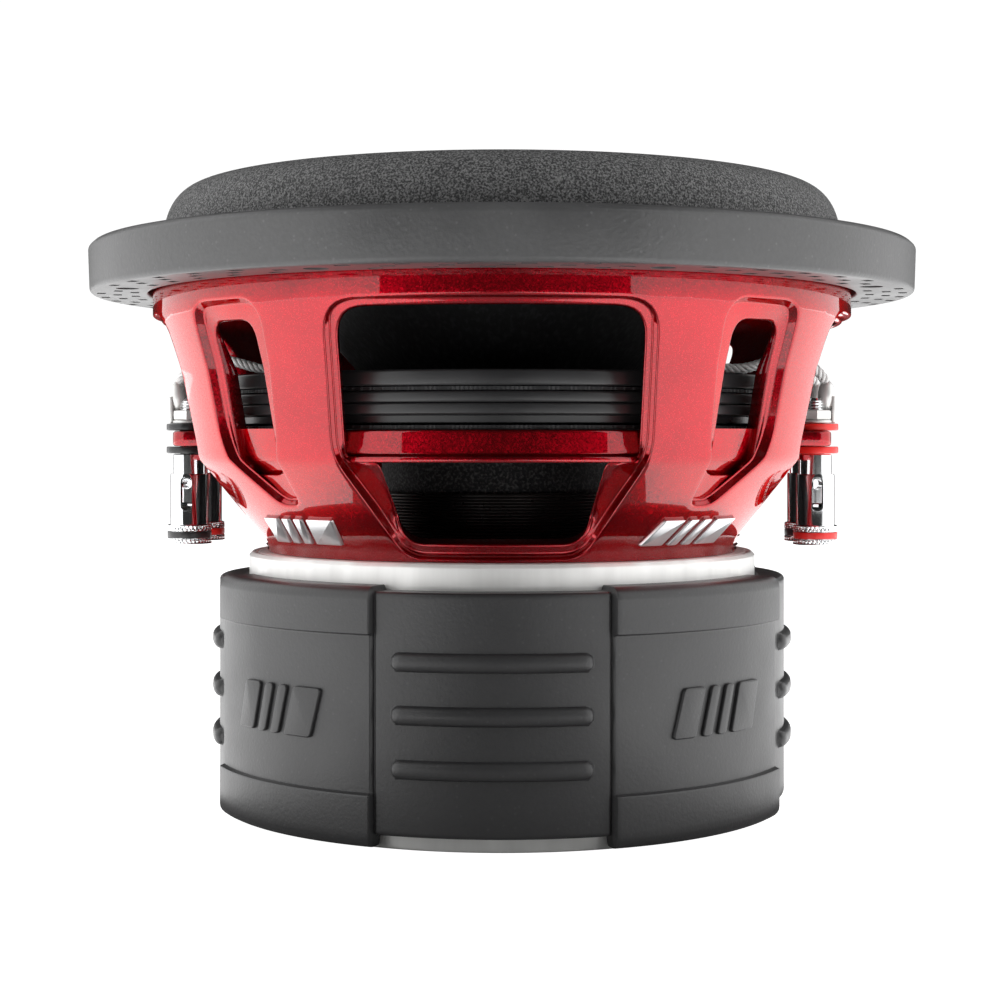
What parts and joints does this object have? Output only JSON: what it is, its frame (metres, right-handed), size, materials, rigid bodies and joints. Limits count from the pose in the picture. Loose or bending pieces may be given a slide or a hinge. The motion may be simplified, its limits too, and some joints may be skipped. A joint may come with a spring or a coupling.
{
  "type": "car subwoofer speaker",
  "caption": "Round car subwoofer driver with a cast windowed basket, tall half-roll surround, rubber-booted magnet motor and spring-loaded push terminals.",
  "frame": {"origin": "middle of the back plate's lower face, on which the speaker stands", "axes": "+Z along the speaker's axis from the motor to the cone's front; -Y through the middle of the front basket window; the terminals are on +X and -X"},
  "size_m": [0.218, 0.218, 0.1628],
  "materials": {
    "bright_steel": "bright zinc plated steel, satin faces and turned edges",
    "dark_steel": "black oxide steel",
    "ferrite": "raw grey-black ferrite, matt",
    "boot_rubber": "moulded charcoal rubber, fine matt grain",
    "red_paint": "candy red metallic flake under clear lacquer",
    "gasket_rubber": "moulded mid-grey rubber, soft leather-like grain",
    "black_plastic": "moulded black plastic, smooth",
    "red_plastic": "moulded red plastic, smooth",
    "spider_cloth": "resin-treated black woven cloth",
    "surround_foam": "charcoal foam rubber with speckled grain",
    "cone_paper": "black pressed fibre pulp",
    "former_sheet": "black wound fibre sheet with cured glue",
    "enamelled_wire": "black enamelled round wire, close wound",
    "chrome": "bright chrome plate",
    "tinned_metal": "tinned metal, dull"
  },
  "bodies": {
    "frame": {"back_plate_and_pole": "bright_steel", "vent_screen": "dark_steel", "magnet_rear": "ferrite", "magnet_front": "ferrite", "top_plate": "bright_steel", "magnet_boot": "boot_rubber", "basket": "red_paint", "rubber_gasket": "gasket_rubber", "spider_spacer_lower": "black_plastic", "spider_spacer_upper": "black_plastic", "spider_clamp_ring": "black_plastic", "basket_screw_1": "dark_steel", "basket_screw_2": "dark_steel", "basket_screw_3": "dark_steel", "basket_screw_4": "dark_steel", "terminal_post_left_front": "chrome", "washer_lower_left_front": "black_plastic", "washer_upper_left_front": "black_plastic", "solder_lug_left_front": "tinned_metal", "terminal_nut_left_front": "bright_steel", "tinsel_lead_left_front": "tinned_metal", "terminal_post_left_rear": "chrome", "washer_lower_left_rear": "red_plastic", "washer_upper_left_rear": "red_plastic", "solder_lug_left_rear": "tinned_metal", "terminal_nut_left_rear": "bright_steel", "tinsel_lead_left_rear": "tinned_metal", "terminal_post_right_front": "chrome", "washer_lower_right_front": "red_plastic", "washer_upper_right_front": "red_plastic", "solder_lug_right_front": "tinned_metal", "terminal_nut_right_front": "bright_steel", "tinsel_lead_right_front": "tinned_metal", "terminal_post_right_rear": "chrome", "washer_lower_right_rear": "black_plastic", "washer_upper_right_rear": "black_plastic", "solder_lug_right_rear": "tinned_metal", "terminal_nut_right_rear": "bright_steel", "tinsel_lead_right_rear": "tinned_metal", "surround": "surround_foam", "spider_lower": "spider_cloth", "spider_upper": "spider_cloth", "terminal_spring_left_front": "tinned_metal", "terminal_spring_left_rear": "tinned_metal", "terminal_spring_right_front": "tinned_metal", "terminal_spring_right_rear": "tinned_metal"},
    "moving_assembly": {"cone": "cone_paper", "dust_cap": "cone_paper", "voice_coil_former": "former_sheet", "voice_coil_winding": "enamelled_wire"},
    "push_cap_left_front": {"terminal_sleeve_left_front": "chrome", "terminal_stripe_left_front": "black_plastic"},
    "push_cap_left_rear": {"terminal_sleeve_left_rear": "chrome", "terminal_stripe_left_rear": "red_plastic"},
    "push_cap_right_front": {"terminal_sleeve_right_front": "chrome", "terminal_stripe_right_front": "red_plastic"},
    "push_cap_right_rear": {"terminal_sleeve_right_rear": "chrome", "terminal_stripe_right_rear": "black_plastic"}
  },
  "joints": [
    {"name": "cone_excursion", "type": "slide", "parent": "frame", "child": "moving_assembly", "axis": [0, 0, 1], "range_m": [-0.012, 0.012], "stiffness_N_per_m": 5200, "deforming": ["surround", "spider_lower", "spider_upper", "tinsel_lead_left_front", "tinsel_lead_left_rear", "tinsel_lead_right_front", "tinsel_lead_right_rear"]},
    {"name": "press_left_front", "type": "slide", "parent": "frame", "child": "push_cap_left_front", "axis": [0, 0, 1], "range_m": [0, 0.0045], "stiffness_N_per_m": 420, "springref_m": -0.004, "deforming": ["terminal_spring_left_front"]},
    {"name": "press_left_rear", "type": "slide", "parent": "frame", "child": "push_cap_left_rear", "axis": [0, 0, 1], "range_m": [0, 0.0045], "stiffness_N_per_m": 420, "springref_m": -0.004, "deforming": ["terminal_spring_left_rear"]},
    {"name": "press_right_front", "type": "slide", "parent": "frame", "child": "push_cap_right_front", "axis": [0, 0, 1], "range_m": [0, 0.0045], "stiffness_N_per_m": 420, "springref_m": -0.004, "deforming": ["terminal_spring_right_front"]},
    {"name": "press_right_rear", "type": "slide", "parent": "frame", "child": "push_cap_right_rear", "axis": [0, 0, 1], "range_m": [0, 0.0045], "stiffness_N_per_m": 420, "springref_m": -0.004, "deforming": ["terminal_spring_right_rear"]}
  ]
}
